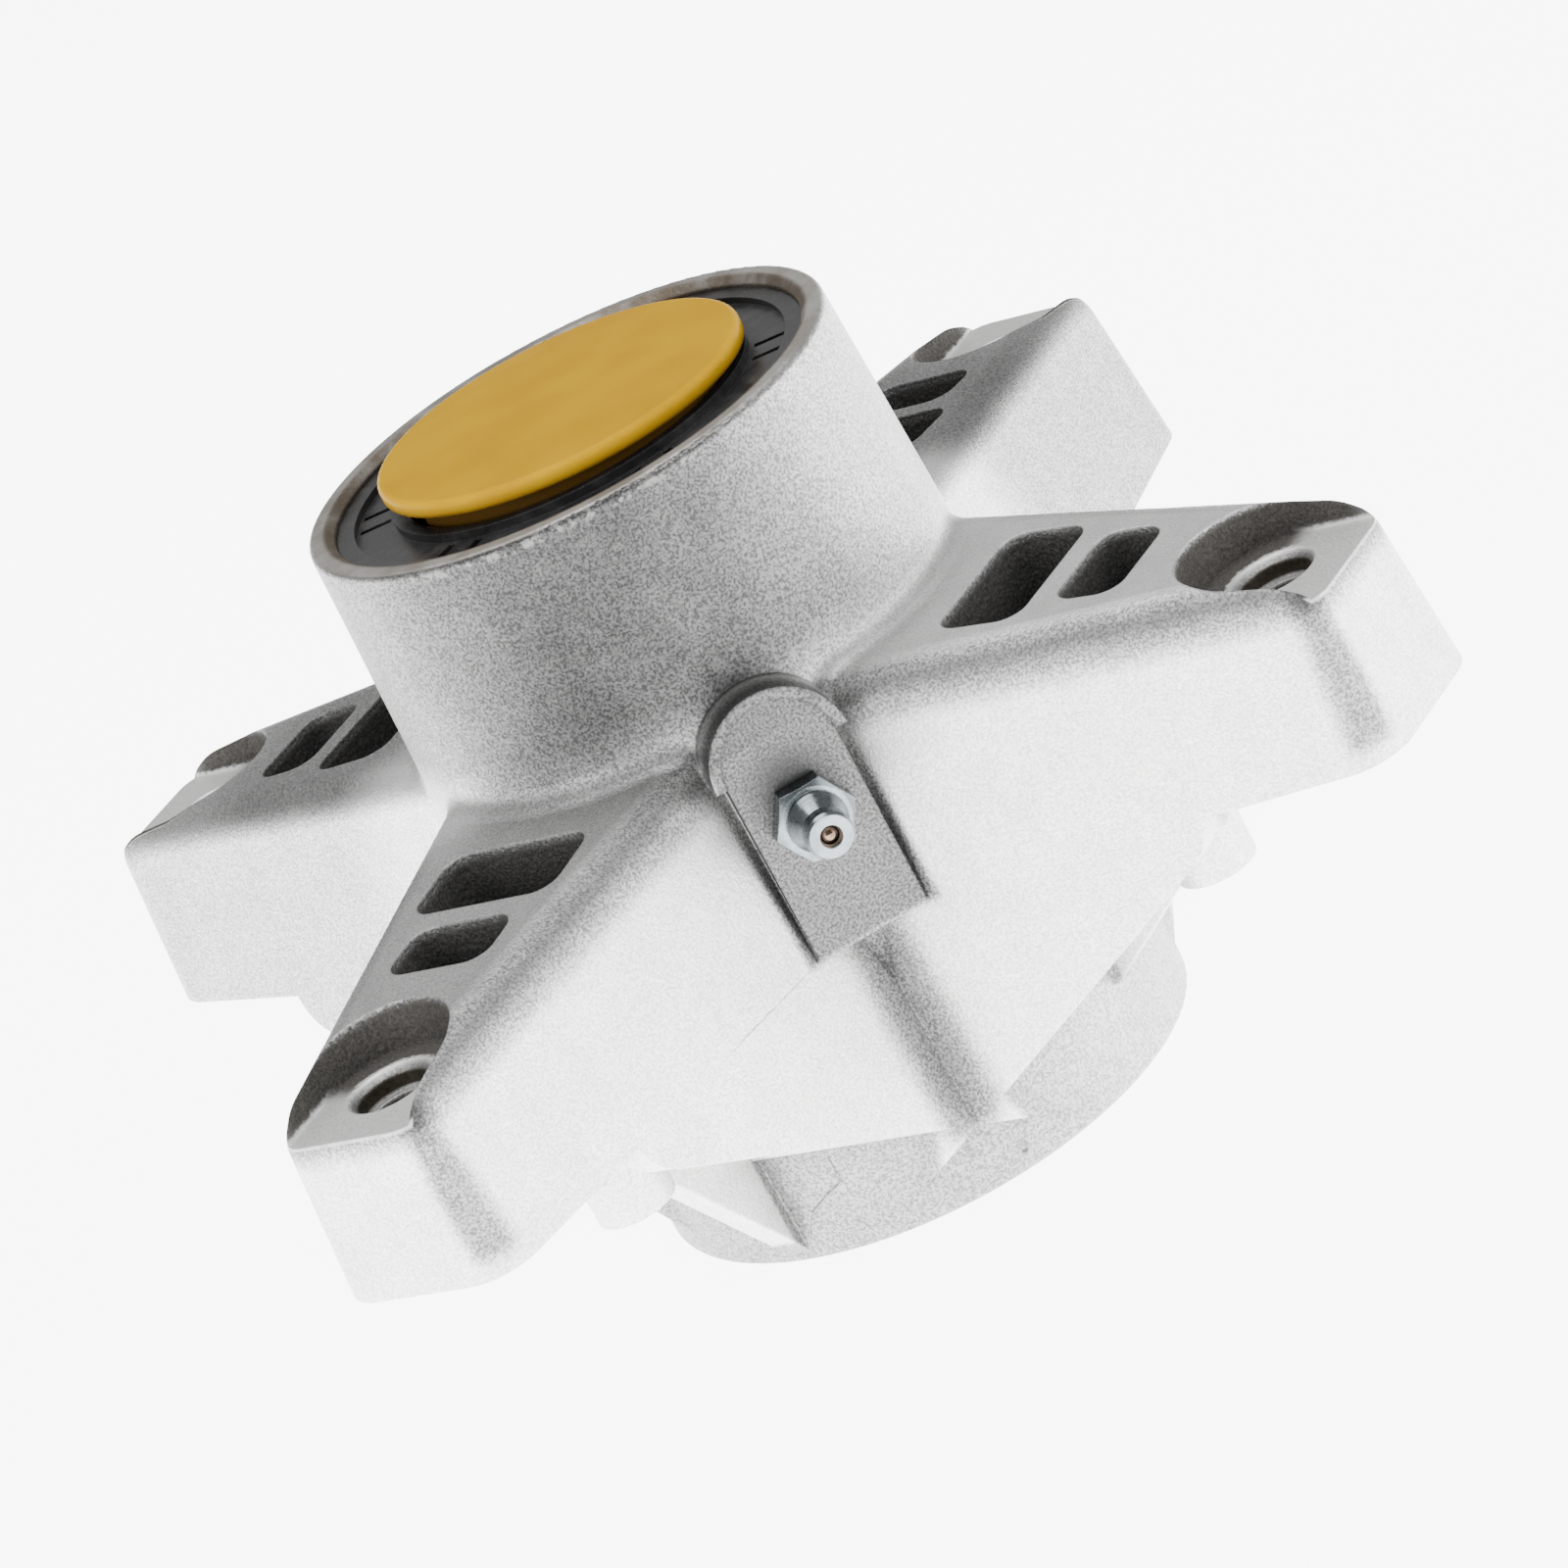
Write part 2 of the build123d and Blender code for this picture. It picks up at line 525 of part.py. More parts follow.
def fitting_body():
    """Hexagon, collar, waisted neck and turned head, with the check ball's bore."""
    seat = FITTING_LENGTH - FITTING_SEAT_DEPTH
    widen = seat - (FITTING_BORE_RADIUS - FITTING_MOUTH_RADIUS)
    hexagon = extrude(RegularPolygon(FITTING_HEX / 2, 6, major_radius=False), amount=FITTING_HEX_HEIGHT)
    trim = turned([(0, 0), (FITTING_HEX_REACH, 0),
                   (FITTING_HEX_REACH, FITTING_HEX_HEIGHT - FITTING_HEX_BEVEL),
                   (FITTING_HEX / 2 - FITTING_HEX_INSET, FITTING_HEX_HEIGHT), (0, FITTING_HEX_HEIGHT)])
    body = (hexagon & trim) + turned([
        (0, -FITTING_STUB_LENGTH), (GREASE_THREAD_RADIUS, -FITTING_STUB_LENGTH), (GREASE_THREAD_RADIUS, 0),
        (FITTING_COLLAR_RADIUS, SPARE), (FITTING_COLLAR_RADIUS, FITTING_COLLAR_HEIGHT),
        (FITTING_NECK_RADIUS, FITTING_NECK_HEIGHT), (FITTING_HEAD_RADIUS, FITTING_HEAD_HEIGHT),
        (FITTING_HEAD_RADIUS, FITTING_LENGTH - FITTING_FACE_BEVEL), (FITTING_FACE_RADIUS, FITTING_LENGTH),
        (0, FITTING_LENGTH)])
    bore = turned([(0, -FITTING_STUB_LENGTH - SPARE), (FITTING_DRILL_RADIUS, -FITTING_STUB_LENGTH - SPARE),
                   (FITTING_DRILL_RADIUS, FITTING_BORE_LEDGE), (FITTING_BORE_RADIUS, FITTING_BORE_LEDGE),
                   (FITTING_BORE_RADIUS, widen), (FITTING_MOUTH_RADIUS, seat),
                   (FITTING_MOUTH_RADIUS, seat + FITTING_MOUTH_LAND), (FITTING_MOUTH_SINK, FITTING_LENGTH),
                   (FITTING_MOUTH_SINK, FITTING_LENGTH + SPARE), (0, FITTING_LENGTH + SPARE)])
    return body - bore


def check_spring():
    low = FITTING_BORE_LEDGE + SPRING_WIRE_RADIUS + SPRING_END_GAP
    high = ball_height() - BALL_RADIUS - SPRING_WIRE_RADIUS - SPRING_END_GAP
    path = Helix((high - low) / SPRING_TURNS, high - low, SPRING_RADIUS)
    wire = Plane(origin=path @ 0, z_dir=path % 0) * Circle(SPRING_WIRE_RADIUS)
    return Pos(0, 0, low) * sweep(wire, path=path)


def make_nodes():
    nodes = {"housing": housing(), "bearing_spacer": bearing_spacer()}
    cup, cone, cage, one_roller = bearing_cup(), bearing_cone(), bearing_cage(), roller()
    for side, place, at_face in (("upper", upper, at_upper_face), ("lower", lower, at_lower_face)):
        nodes[f"{side}_bearing_cup"] = place(cup)
        nodes[f"{side}_bearing_cone"] = place(cone)
        nodes[f"{side}_bearing_cage"] = place(cage)
        for index in range(ROLLER_COUNT):
            nodes[f"{side}_roller_{index + 1:02d}"] = place(roller_turn(index) * one_roller)
        nodes[f"{side}_seal"] = at_face(seal())
        nodes[f"{side}_seal_spring"] = at_face(garter_spring())
    nodes["top_plug"] = at_upper_face(plug(TOP_PLUG_TILT))
    nodes["bottom_plug"] = at_lower_face(plug())
    nodes["grease_fitting_body"] = fitting_place() * fitting_body()
    nodes["grease_check_ball"] = fitting_place() * Pos(0, 0, ball_height()) * Sphere(BALL_RADIUS)
    nodes["grease_check_spring"] = fitting_place() * check_spring()
    return nodes


os.makedirs("parts", exist_ok=True)
for name, solid in make_nodes().items():
    export_step(solid, f"parts/{name}.step")
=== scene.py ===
import json
import math
import random

import bpy
from mathutils import Matrix, Vector


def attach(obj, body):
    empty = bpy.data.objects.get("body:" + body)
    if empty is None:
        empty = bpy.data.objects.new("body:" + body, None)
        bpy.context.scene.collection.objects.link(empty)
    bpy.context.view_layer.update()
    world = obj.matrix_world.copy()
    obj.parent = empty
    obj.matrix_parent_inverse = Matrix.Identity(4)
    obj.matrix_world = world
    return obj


# Sizes are in millimetres here and become metres where a mesh is made
MM = 0.001

# Camera, solved from the outlines of the rim, hub and arms. Distances are in metres
PHOTO_SIDE = 1600
FOCAL_PIXELS = 7362.013
SHIFT_X_PIXELS = 8.258
SHIFT_Y_PIXELS = 4.857
LOOK_AZIMUTH = math.radians(-4.798)
LOOK_ELEVATION = math.radians(20.808)
LOOK_ROLL = math.radians(-28.42)
LOOK_DISTANCE = 0.970293
AIM_SIDEWAYS = 0.001363
AIM_HEIGHT = 0.049816
CLIP_END = 100

# The housing's own sizes that the marks and materials follow
FOOT_HEIGHT = 43.1
ARM_HALF_WIDTH = 18.3
ARM_WIDTH_AT = 80.0
ARM_PLAN_SLOPE = 0.183
ARM_DRAFT_SLOPE = 0.131
ARM_TOP_AT_AXIS = 76.9
ARM_TOP_SLOPE = 0.067
BOLT_REACH = 90.8
BOLT_HOLE_RADIUS = 4.05
POCKET_FLOOR = 65.8
POCKET_RADIUS = 10.0
POCKET_DRAFT_SLOPE = 0.2126
COUNTERBORE_DEPTH = 3.2
TUBE_TOP = 110.0
TUBE_RIM_RADIUS = 38.0
TUBE_ROOT_RADIUS = 40.4
TUBE_ROOT_HEIGHT = 50.0
HUB_RIM_RADIUS = 39.3
ARM_ANGLES = {"front_right": -45.0, "rear_right": 45.0, "rear_left": 135.0, "front_left": 225.0}

# Where the casting's looks change. The spans run along an arm, up a bolt hole and up the rim
LARGE_WINDOW_SPAN = (46.2, 61.4)
SMALL_WINDOW_SPAN = (62.9, 74.7)
WINDOW_SOFTNESS = 0.4
POCKET_WALL_MARGIN = 0.35
STEP_SPAN = (62.1, 63.0)
STEP_SOFTNESS = 0.15
RIM_EDGE_SPAN = (108.3, 109.9)
RIM_EDGE_SOFTNESS = 0.35
TOP_EDGE_SPREAD = 1.8
LOW_EDGE_SPREAD = 1.6
RING_EDGE_SPREAD = 2.0
FLOOR_SHADE_LEAN = 0.8
FLOOR_SHADE_END = (147.0, 141.5)
# Reach of the painted shade in the casting's creases
CREASE_REACH = 6.0
# The grease fitting's foot, where a painted shadow is centred, and that shadow's reach
FITTING_FOOT = (-0.6, -45.4, 66.6)
FITTING_SHADOW_REACH = 8.2

# A dent on the rear right arm, two nicks on the front right one and one on the hub, with their reach
KNOCKS = (((46.9, 19.6, 69.8), 1.5), ((75.6, -47.9, 43.8), 0.9), ((67.6, -43.2, 44.0), 0.9),
          ((4.3, -39.1, 3.4), 0.8))

# Places on the casting, each bounded by measures with a value outside it and a value inside it.
# Here u is |x|, lead is |y| - |x|, and along and side follow the nearest arm
PLACES = {
    "large_window": (("side", 13.4, 12.6),),
    "small_window": (("side", 9.8, 9.2),),
    "above_window_floor": (("z", 47.6, 48.4),),
    "pocket_end": (("along", 78.0, 79.0),),
    "pocket_floor": (("z", POCKET_FLOOR - 0.9, POCKET_FLOOR - 0.4),),
    "pocket_wall": (("along", 103.5, 98.0),),
    "near_lip": (("y", 0.0, -5.0), ("lead", 11.6, 13.2)),
    "in_hole": (("z", POCKET_FLOOR - 0.3, POCKET_FLOOR - 1.4),),
    "boss": (("y", -39.2, -41.0), ("u", 10.4, 8.9), ("z", 42.0, 44.0)),
    "shoulder": (("y", -14.0, -26.0), ("below_top", -0.2, 0.8), ("below_top", 8.6, 4.4)),
    "corner": (("y", -60.0, -66.0), ("lead", 0.0, 4.0), ("along", 97.5, 101.0),
               ("along", 104.2, 102.9), ("side", 8.0, 10.5), ("z", 44.0, 47.0)),
    "valley": (("y", -36.0, -41.0), ("u", 6.5, 2.0), ("z", 44.0, 41.0), ("z", 8.0, 13.0)),
    "rim": (("z", TUBE_TOP - 1.3, TUBE_TOP - 0.5), ("radius", 33.0, 34.0), ("radius", 37.85, 37.5)),
    "bevel": (("z", TUBE_TOP - 2.6, TUBE_TOP - 1.4), ("radius", 36.0, 35.4), ("radius", 33.0, 34.0)),
    "rim_front": (("radius", 36.8, 37.2), ("y", 0.0, -12.0)),
    "tube": (("z", 72.0, 82.0), ("radius", 42.5, 41.0)),
    "tube_front": (("y", 5.0, -24.0), ("x", -38.0, -16.0), ("x", 27.0, 2.0), ("z", 72.0, 84.0)),
    "tube_root": (("y", -34.0, -42.0), ("u", 22.0, 9.0), ("z", 62.0, 68.0), ("z", 92.0, 80.0)),
    "hub": (("z", 44.0, 36.0), ("radius", 41.5, 40.6)),
    "rear": (("y", 12.0, 26.0),),
    "top_edge": (("below_top", 6.0, 0.6),),
    "front_top": (("y", -14.0, -26.0), ("below_top", 1.0, 0.4), ("z", 62.0, 64.0)),
}

# The middle of a noise, where most of its values lie
MIDDLE = (0.3, 0.7)
NARROW_MIDDLE = (0.35, 0.65)

# The plug's disc: its underside leans with the plug, and painted shade darkens the skirt under it to brown
PLUG_LEAN_SLOPE = 0.0314
PLUG_DISC_FACES = (112.2, 109.8)
ABOVE_LOWER_PLUG = (60.0, 70.0)

# Steels: light and dark colour, roughness, stretch of the marks along x, y and z, and their depth
STEELS = {
    "bearing_steel": ((0.62, 0.63, 0.65), (0.52, 0.53, 0.55), 0.2, (0.4, 0.4, 5.0), 0.03),
    "cage_steel": ((0.48, 0.48, 0.49), (0.36, 0.36, 0.37), 0.36, (1.2, 1.2, 1.2), 0.05),
    "spacer_steel": ((0.42, 0.43, 0.45), (0.33, 0.33, 0.34), 0.38, (0.3, 0.3, 6.0), 0.06),
    "spring_steel": ((0.55, 0.55, 0.57), (0.42, 0.42, 0.44), 0.3, (2.0, 2.0, 2.0), 0.03),
}

# Tapped holes: 3/8 inch with 16 turns to the inch. The shares are parts of the pitch
THREAD_PITCH = 25.4 / 16
THREAD_CREST_RADIUS = 3.62
THREAD_ROOT_GAP = 0.01
THREAD_START_GAP = 0.5
THREAD_END_GAP = 0.3
THREAD_ROOT_SHARE = 0.98
THREAD_CREST_SHARE = 0.1568
STEPS_PER_TURN = 36

# Marks of casting: reach and height on the front left arm's side, angle and height on the hub
MARKS_SEED = 7
BEAD_END_SHARE = 0.08
PARTING_LINE = ((37.9, 43.25), (48.0, 43.15), (58.0, 43.1))
PARTING_SINK = 0.05
PARTING_SPACING = 0.8
PARTING_BEAD_RADIUS = 0.16
PARTING_UNEVENNESS = 0.4
GUSSET_ROOT = ((-118.0, 15.0), (-118.3, 10.5), (-122.3, 9.2), (-126.8, 7.3), (-131.6, 2.2))
GUSSET_ROOT_SPACING = 0.6
GUSSET_ROOT_BEAD_RADIUS = 0.22
GUSSET_ROOT_UNEVENNESS = 0.3
BURR_START = -119
BURR_SWEEP = 64
BURR_POINTS = 150
BURR_RADIUS = 37.62
BURR_HEIGHT = 109.6
BURR_SIDE_SCATTER = 0.07
BURR_HEIGHT_SCATTER = 0.09
BURR_BEAD_RADIUS = 0.26
BURR_UNEVENNESS = 0.5

# Studio. The floor's own glow keeps it pale, as the photo's ground is. The aim is in metres
FLOOR_GLOW = 7.0
FLOOR_REACH = 6000
FLOOR_HEIGHT = -0.15
WORLD_STRENGTH = 0.5
WHITE = (1.0, 1.0, 1.0, 1.0)
LIGHTS_AIM = Vector((0, 0, 0.05))

# Softboxes: azimuth and elevation in degrees, distance and side in metres, power in watts
SOFTBOXES = {
    "left_softbox": (-150, 12, 1.3, 1.0, 12),
    "right_softbox": (-30, 12, 1.3, 1.0, 12),
    "top_softbox": (90, 86, 1.4, 1.0, 22),
}


class Graph:
    """Builds one material out of nodes. Places are in millimetres in the part's own frame."""

    def __init__(self, name):
        self.material = bpy.data.materials.new(name)
        self.material.use_nodes = True
        self.tree = self.material.node_tree
        self.shader = self.tree.nodes["Principled BSDF"]
        self.where = None

    def node(self, kind, **settings):
        made = self.tree.nodes.new(kind)
        for key, value in settings.items():
            setattr(made, key, value)
        return made

    def feed(self, socket, value):
        if isinstance(value, bpy.types.NodeSocket):
            self.tree.links.new(value, socket)
        else:
            socket.default_value = value

    def place(self):
        if self.where is None:
            scale = self.node("ShaderNodeVectorMath", operation="SCALE")
            self.feed(scale.inputs[0], self.node("ShaderNodeTexCoord").outputs["Object"])
            scale.inputs["Scale"].default_value = 1 / MM
            self.where = scale.outputs[0]
        return self.where

    def split(self, vector):
        parts = self.node("ShaderNodeSeparateXYZ")
        self.feed(parts.inputs[0], vector)
        return parts.outputs[0], parts.outputs[1], parts.outputs[2]

    def math(self, operation, a, b=0.0):
        made = self.node("ShaderNodeMath", operation=operation)
        self.feed(made.inputs[0], a)
        self.feed(made.inputs[1], b)
        return made.outputs[0]

    def product(self, *values):
        total = values[0]
        for value in values[1:]:
            total = self.math("MULTIPLY", total, value)
        return total

    def most(self, *values):
        total = values[0]
        for value in values[1:]:
            total = self.math("MAXIMUM", total, value)
        return total

    def opposite(self, share):
        return self.math("SUBTRACT", 1.0, share)

    def distance(self, a, b):
        return self.math("SQRT", self.math("ADD", self.product(a, a), self.product(b, b)))

    def wander(self, value, noise, spread):
        """A value that a noise moves by half of the spread to both sides."""
        return self.math("ADD", value, self.math("MULTIPLY", self.math("SUBTRACT", noise, 0.5), spread))

    def rise(self, value, low, high):
        """0 below low, 1 above high and smooth between; low may be above high to fall."""
        made = self.node("ShaderNodeMapRange", interpolation_type="SMOOTHSTEP")
        for socket, given in zip(made.inputs, (value, low, high, 0.0, 1.0)):
            self.feed(socket, given)
        return made.outputs[0]

    def between(self, value, low, high, soft):
        above = self.rise(value, low - soft, low + soft)
        return self.product(above, self.rise(value, high + soft, high - soft))

    def noise(self, scale, detail=2.0, roughness=0.5, vector=None):
        made = self.node("ShaderNodeTexNoise")
        self.feed(made.inputs["Vector"], vector or self.place())
        made.inputs["Scale"].default_value = scale
        made.inputs["Detail"].default_value = detail
        made.inputs["Roughness"].default_value = roughness
        return made.outputs[0]

    def stretched(self, x, y, z):
        made = self.node("ShaderNodeVectorMath", operation="MULTIPLY")
        self.feed(made.inputs[0], self.place())
        made.inputs[1].default_value = (x, y, z)
        return made.outputs[0]

    def near(self, centre, radius):
        """1 at a place, falling to 0 at a radius round it."""
        made = self.node("ShaderNodeVectorMath", operation="DISTANCE")
        self.feed(made.inputs[0], self.place())
        made.inputs[1].default_value = centre
        return self.rise(made.outputs["Value"], radius, radius * 0.25)

    def mix(self, share, a, b):
        made = self.node("ShaderNodeMix", data_type="RGBA")
        self.feed(made.inputs[0], share)
        for socket, value in ((made.inputs[6], a), (made.inputs[7], b)):
            self.feed(socket, (*value, 1.0) if isinstance(value, tuple) else value)
        return made.outputs[2]

    def multiply(self, a, b):
        made = self.node("ShaderNodeMix", data_type="RGBA", blend_type="MULTIPLY")
        made.inputs[0].default_value = 1.0
        self.feed(made.inputs[6], a)
        self.feed(made.inputs[7], b)
        return made.outputs[2]

    def blend(self, share, a, b):
        """A number between a and b."""
        made = self.node("ShaderNodeMapRange")
        for socket, given in zip(made.inputs, (share, 0.0, 1.0, a, b)):
            self.feed(socket, given)
        return made.outputs[0]

    def bump(self, height, depth, strength=1.0, normal=None):
        """Bump from a height of 0 to 1 that stands for depth in millimetres."""
        made = self.node("ShaderNodeBump")
        made.inputs["Strength"].default_value = strength
        made.inputs["Distance"].default_value = depth * MM
        self.feed(made.inputs["Height"], height)
        if normal is not None:
            self.feed(made.inputs["Normal"], normal)
        return made.outputs[0]

    def soft_edges(self, radius):
        made = self.node("ShaderNodeBevel", samples=4)
        made.inputs["Radius"].default_value = radius * MM
        return made.outputs[0]

    def openness(self, reach):
        """1 on open faces, falling towards 0 in the object's own creases."""
        made = self.node("ShaderNodeAmbientOcclusion", samples=3, only_local=True)
        made.inputs["Distance"].default_value = reach * MM
        return made.outputs["AO"]

    def finish(self, colour, roughness, normal, **constants):
        self.feed(self.shader.inputs["Base Color"], colour)
        self.feed(self.shader.inputs["Roughness"], roughness)
        self.feed(self.shader.inputs["Normal"], normal)
        for key, value in constants.items():
            self.shader.inputs[key.replace("_", " ")].default_value = value
        return self.material


def casting_measures(g):
    """What the casting's looks follow, in millimetres."""
    x, y, z = g.split(g.place())
    u, v = g.math("ABSOLUTE", x), g.math("ABSOLUTE", y)
    along = g.math("MULTIPLY", g.math("ADD", u, v), math.sqrt(0.5))
    lead = g.math("SUBTRACT", v, u)
    up_slope = g.math("ADD", z, g.math("MULTIPLY", along, ARM_TOP_SLOPE))
    return {
        "x": x, "y": y, "z": z, "u": u, "lead": lead, "along": along,
        "side": g.math("MULTIPLY", g.math("ABSOLUTE", lead), math.sqrt(0.5)),
        "radius": g.distance(x, y),
        "below_top": g.math("SUBTRACT", ARM_TOP_AT_AXIS, up_slope),
    }


def inside(g, at, name):
    """1 in a named place on the casting and 0 outside it."""
    return g.product(*(g.rise(at[measure], outer, inner) for measure, outer, inner in PLACES[name]))


def opening_masks(g, at, fine, grain):
    """Masks for the dark walls of windows and bolt pockets, partly unblasted metal and partly painted shade,
    and for painted shade on the pocket floors and in the tapped holes, with ragged edges.
    """
    z, along, side = at["z"], at["along"], at["side"]
    top_edge = g.wander(at["below_top"], fine, TOP_EDGE_SPREAD)
    large = g.product(g.between(along, *LARGE_WINDOW_SPAN, WINDOW_SOFTNESS), inside(g, at, "large_window"))
    small = g.product(g.between(along, *SMALL_WINDOW_SPAN, WINDOW_SOFTNESS), inside(g, at, "small_window"))
    window = g.product(g.most(large, small), g.rise(top_edge, 0.2, 1.5), inside(g, at, "above_window_floor"))

    past_bolt = g.math("SUBTRACT", along, BOLT_REACH)
    from_bolt = g.distance(g.math("MINIMUM", past_bolt, 0.0), side)
    from_hole = g.distance(past_bolt, side)
    draft = g.math("MULTIPLY", g.math("SUBTRACT", z, POCKET_FLOOR), POCKET_DRAFT_SLOPE)
    past_wall = g.math("SUBTRACT", from_bolt, g.math("ADD", POCKET_RADIUS + POCKET_WALL_MARGIN, draft))
    in_pocket = g.product(g.rise(past_wall, 0.12, -0.05), inside(g, at, "pocket_end"))

    low_edge = g.wander(z, grain, LOW_EDGE_SPREAD)
    ring_edge = g.wander(from_hole, grain, RING_EDGE_SPREAD)
    outwards = g.math("ADD", along, g.math("MULTIPLY", low_edge, FLOOR_SHADE_LEAN))
    shaded_floor = g.product(g.rise(ring_edge, 6.0, 7.0), inside(g, at, "pocket_floor"),
                             g.rise(outwards, *FLOOR_SHADE_END))
    wall = g.product(g.rise(low_edge, POCKET_FLOOR + 0.2, POCKET_FLOOR + 1.0), inside(g, at, "pocket_wall"))
    pocket = g.product(in_pocket, g.most(shaded_floor, wall), g.rise(top_edge, 0.0, 1.0),
                       g.opposite(inside(g, at, "near_lip")))

    step = g.product(g.between(z, *STEP_SPAN, STEP_SOFTNESS), g.rise(from_hole, 3.9, 4.1))
    # Painted shade inside the tapped holes, kept off the step's edge
    hole = g.product(g.rise(from_hole, 5.4, 5.1), inside(g, at, "in_hole"), g.opposite(step))
    return window, pocket, hole, in_pocket


def painted_shade_tone(g, at, patch):
    """Painted shade as a factor on the casting's colour: 1 where it is brightest and less where shade is
    painted.
    """
    x, y = at["x"], at["y"]
    boss = inside(g, at, "boss")
    off_boss = g.opposite(boss)
    cloudy = g.blend(g.rise(patch, *MIDDLE), 0.88, 1.0)
    rear = inside(g, at, "rear")
    outer_top = g.blend(g.rise(at["along"], 70.0, 88.0), 1.0, 0.35)
    right, left = g.rise(x, 10.0, 26.0), g.rise(x, -26.0, -40.0)
    shade_depths = (
        (g.product(inside(g, at, "tube"), off_boss), g.blend(g.rise(x, 34.0, 6.0), 0.35, 0.63)),
        (g.product(inside(g, at, "tube_front"), off_boss), g.product(cloudy, 0.60)),
        (g.product(inside(g, at, "tube_root"), off_boss), 0.1),
        (boss, g.product(g.rise(y, -39.0, -44.5), 0.81)),
        (inside(g, at, "hub"), g.blend(g.rise(x, 30.0, 0.0), 0.34, 0.54)),
        (g.product(inside(g, at, "shoulder"), off_boss), 0.54),
        (inside(g, at, "corner"), 0.58),
        (inside(g, at, "valley"), 0.66),
        (g.product(rear, inside(g, at, "top_edge"), outer_top), 0.42),
        (g.product(rear, g.most(right, g.product(left, 0.7))), 0.4),
        (inside(g, at, "front_top"), g.blend(g.rise(x, 12.0, -12.0), 0.04, 0.3)),
    )
    shade_tone = 1.0
    for place, depth in shade_depths:
        shade_tone = g.product(g.opposite(g.product(place, depth)), shade_tone)
    # Painted shade in the casting's own creases, from ambient occlusion
    crease_shade = g.rise(g.openness(CREASE_REACH), 0.35, 0.97)
    return g.product(shade_tone, g.blend(crease_shade, 0.72, 1.0))


def cast_aluminium():
    """Bead-blasted casting: grain, streaks, painted shade, dark pockets that are partly unblasted metal and
    partly painted shade, and a grimy machined rim.
    """
    g = Graph("cast_aluminium")
    at = casting_measures(g)
    fine = g.noise(2.6, 3.0, 0.62)
    grain = g.noise(1.15, 3.0, 0.6)
    patch = g.noise(0.16, 3.0, 0.55)
    broad = g.noise(0.045)
    nicks = g.noise(0.75, 3.0, 0.6)
    streak = g.noise(1.0, 3.0, 0.55, vector=g.stretched(0.16, 0.16, 0.035))
    window, pocket, hole, in_pocket = opening_masks(g, at, fine, grain)

    # Blasted metal with grain, darkened by the painted shade, with the grain stronger where the painted
    # shade is deeper
    shade_tone = painted_shade_tone(g, at, patch)
    colour = g.mix(g.rise(patch, 0.32, 0.7), (0.83, 0.825, 0.82), (0.75, 0.75, 0.745))
    colour = g.mix(g.product(g.rise(streak, 0.5, 0.72), 0.35), colour, (0.68, 0.675, 0.67))
    grain_tone = g.blend(g.rise(shade_tone, 1.0, 0.3), 0.74, 0.4)
    speckle = g.blend(g.rise(fine, 0.36, 0.64), 1.0, grain_tone)
    colour = g.multiply(colour, g.product(speckle, shade_tone))
    pocket_floor = g.product(in_pocket, g.between(at["z"], POCKET_FLOOR - 0.3, POCKET_FLOOR + 0.5, 0.3))
    colour = g.mix(g.product(pocket_floor, 0.9), colour, (0.80, 0.80, 0.79))

    # Machined rim with a grimy face, a darker inner bevel and a nicked front edge
    grimy = g.mix(g.rise(patch, *NARROW_MIDDLE), (0.44, 0.425, 0.40), (0.31, 0.285, 0.25))
    colour = g.mix(g.product(inside(g, at, "rim"), 0.85), colour, grimy)
    bevel = g.product(inside(g, at, "bevel"), g.blend(g.rise(patch, 0.3, 0.6), 0.45, 0.9))
    colour = g.mix(bevel, colour, (0.15, 0.12, 0.09))
    front_edge = g.product(g.between(at["z"], *RIM_EDGE_SPAN, RIM_EDGE_SOFTNESS), inside(g, at, "rim_front"))
    colour = g.mix(g.product(front_edge, g.rise(nicks, 0.5, 0.62), 0.7), colour, (0.22, 0.215, 0.21))

    # Rough dark walls of the openings: partly darker unblasted metal and partly painted shade, with painted
    # shade on the pocket floors and in the tapped holes
    grey_wall_and_shade = g.mix(g.rise(fine, 0.35, 0.68), (0.085, 0.083, 0.080), (0.17, 0.167, 0.163))
    brown_wall_and_shade = g.mix(g.rise(fine, *NARROW_MIDDLE), (0.08, 0.077, 0.07), (0.13, 0.125, 0.115))
    hole_shade = g.mix(grain, (0.05, 0.04, 0.03), (0.16, 0.15, 0.12))
    for mask, wall in ((window, grey_wall_and_shade), (pocket, brown_wall_and_shade), (hole, hole_shade)):
        colour = g.mix(mask, colour, wall)

    # Knocks, and a painted shadow round the grease fitting
    knocks = g.most(*(g.near(centre, reach) for centre, reach in KNOCKS))
    colour = g.mix(g.product(knocks, 0.6), colour, (0.2, 0.2, 0.19))
    # Painted shadow round the grease fitting's foot
    fitting_shadow = g.near(FITTING_FOOT, FITTING_SHADOW_REACH)
    colour = g.mix(g.product(fitting_shadow, 0.85), colour, (0.05, 0.05, 0.05))

    dark = g.most(window, pocket)
    rough = g.blend(dark, g.blend(g.rise(fine, *MIDDLE), 0.42, 0.58), 0.75)
    grains = g.math("ADD", g.math("MULTIPLY", fine, 0.6), g.math("MULTIPLY", grain, 0.4))
    normal = g.bump(broad, 1.2, 0.25, g.soft_edges(0.5))
    normal = g.bump(grains, 0.16, 0.8, normal)
    normal = g.bump(g.product(grain, dark), 0.4, 0.6, normal)
    normal = g.bump(g.opposite(knocks), 0.4, 0.8, normal)
    return g.finish(colour, rough, normal, Metallic=1.0)


